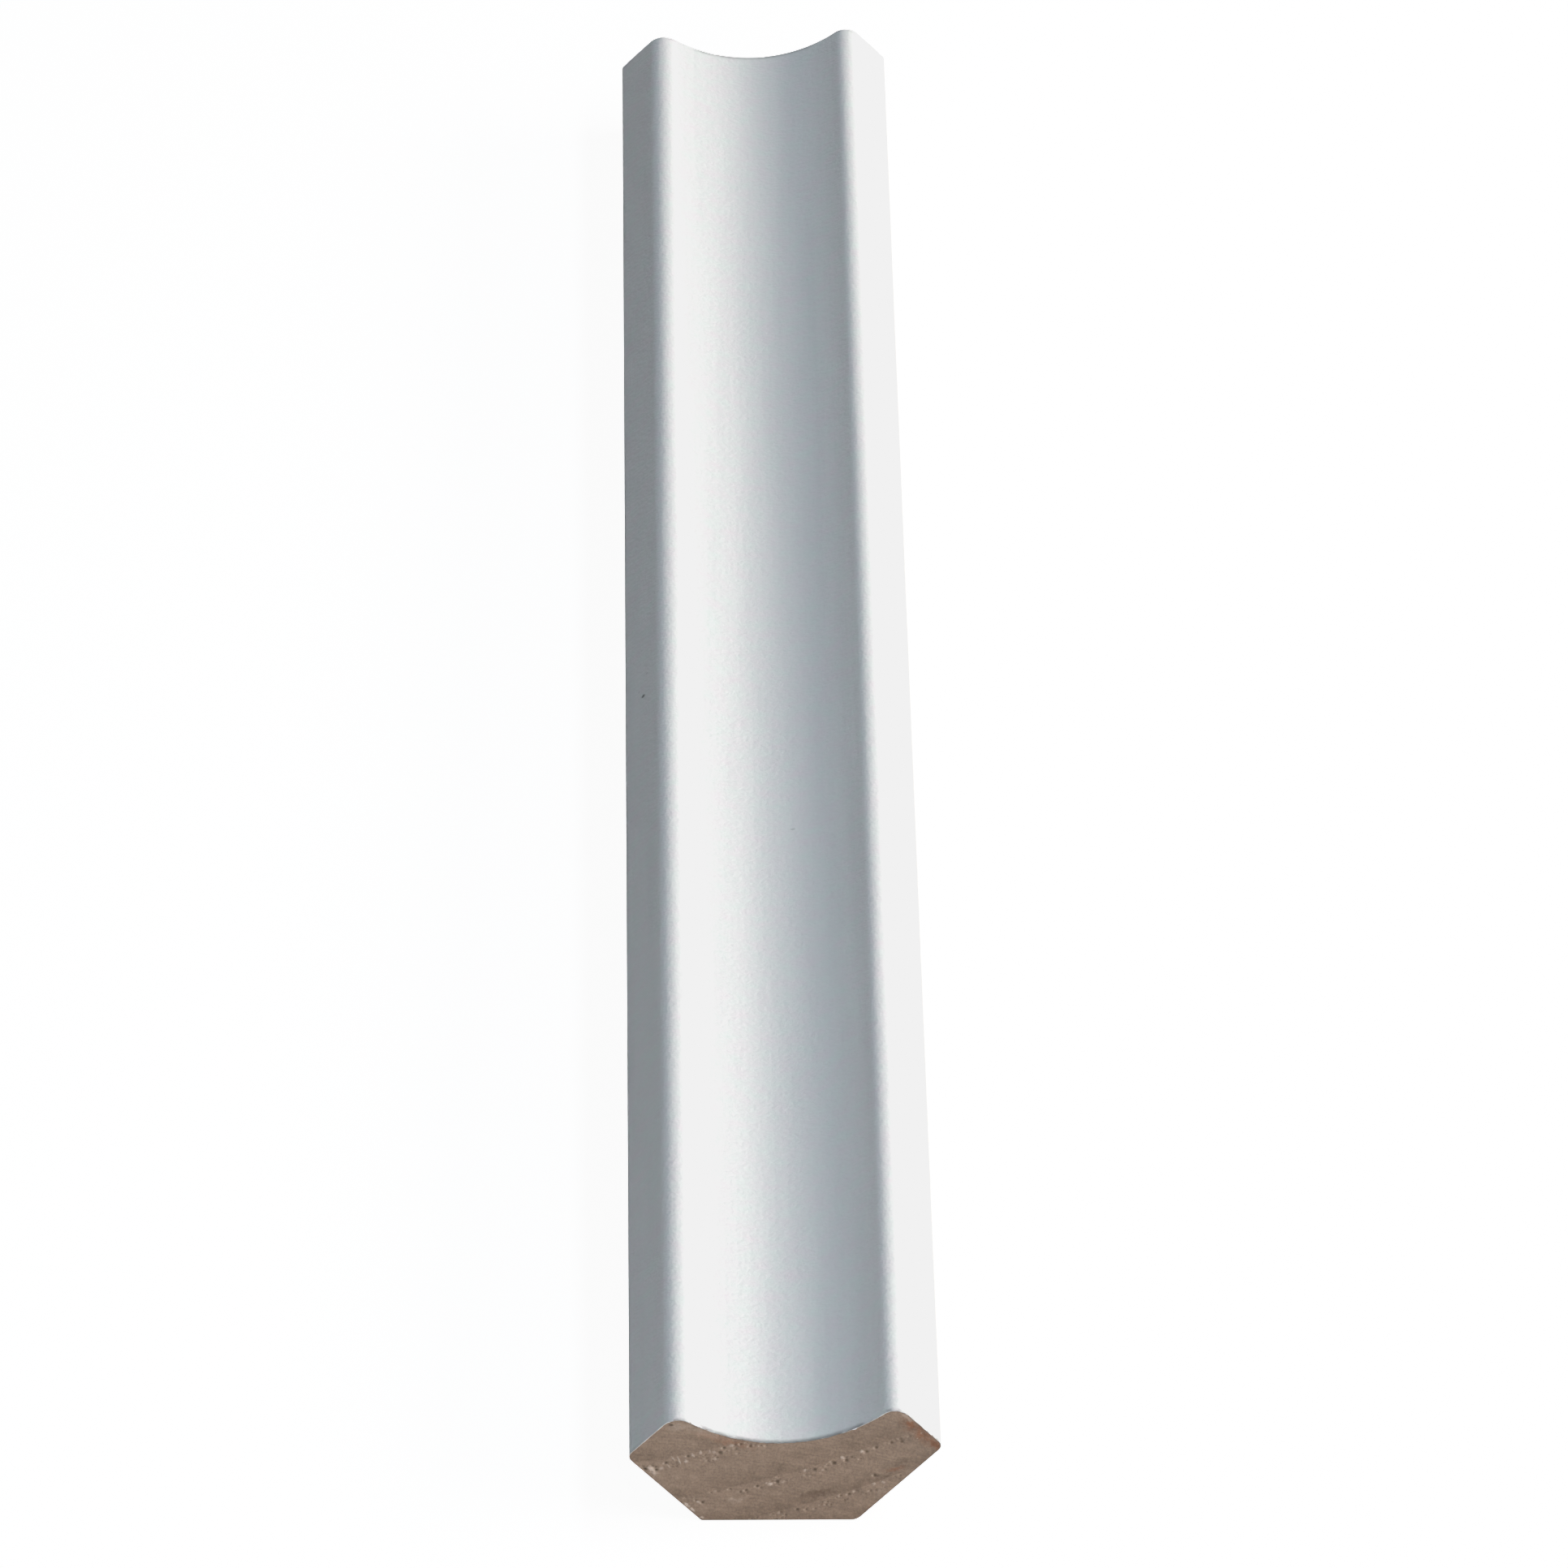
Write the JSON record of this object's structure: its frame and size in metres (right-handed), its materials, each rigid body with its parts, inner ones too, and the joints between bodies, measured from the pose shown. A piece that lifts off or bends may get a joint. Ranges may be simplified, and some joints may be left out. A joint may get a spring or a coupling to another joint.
{
  "type": "crown moulding length",
  "caption": "Straight length of small cove crown moulding in white primed wood, cut square at both ends, with bevelled backs for wall and ceiling.",
  "frame": {"origin": "under the middle of the length, centred between the wall tip and the ceiling tip, in the plane of the flat back", "axes": "+Y along the length, away from the end that the picture shows; +Z out of the flat back towards the cove face; +X towards the edge that goes to the wall, -X towards the edge that goes to the ceiling"},
  "size_m": [0.045, 0.457, 0.0184],
  "materials": {
    "primed_wood": "satin white primer on the face and front edges, bare brown ring-porous wood at the square cut ends"
  },
  "bodies": {
    "root": {"crown_moulding": "primed_wood"}
  },
  "joints": []
}
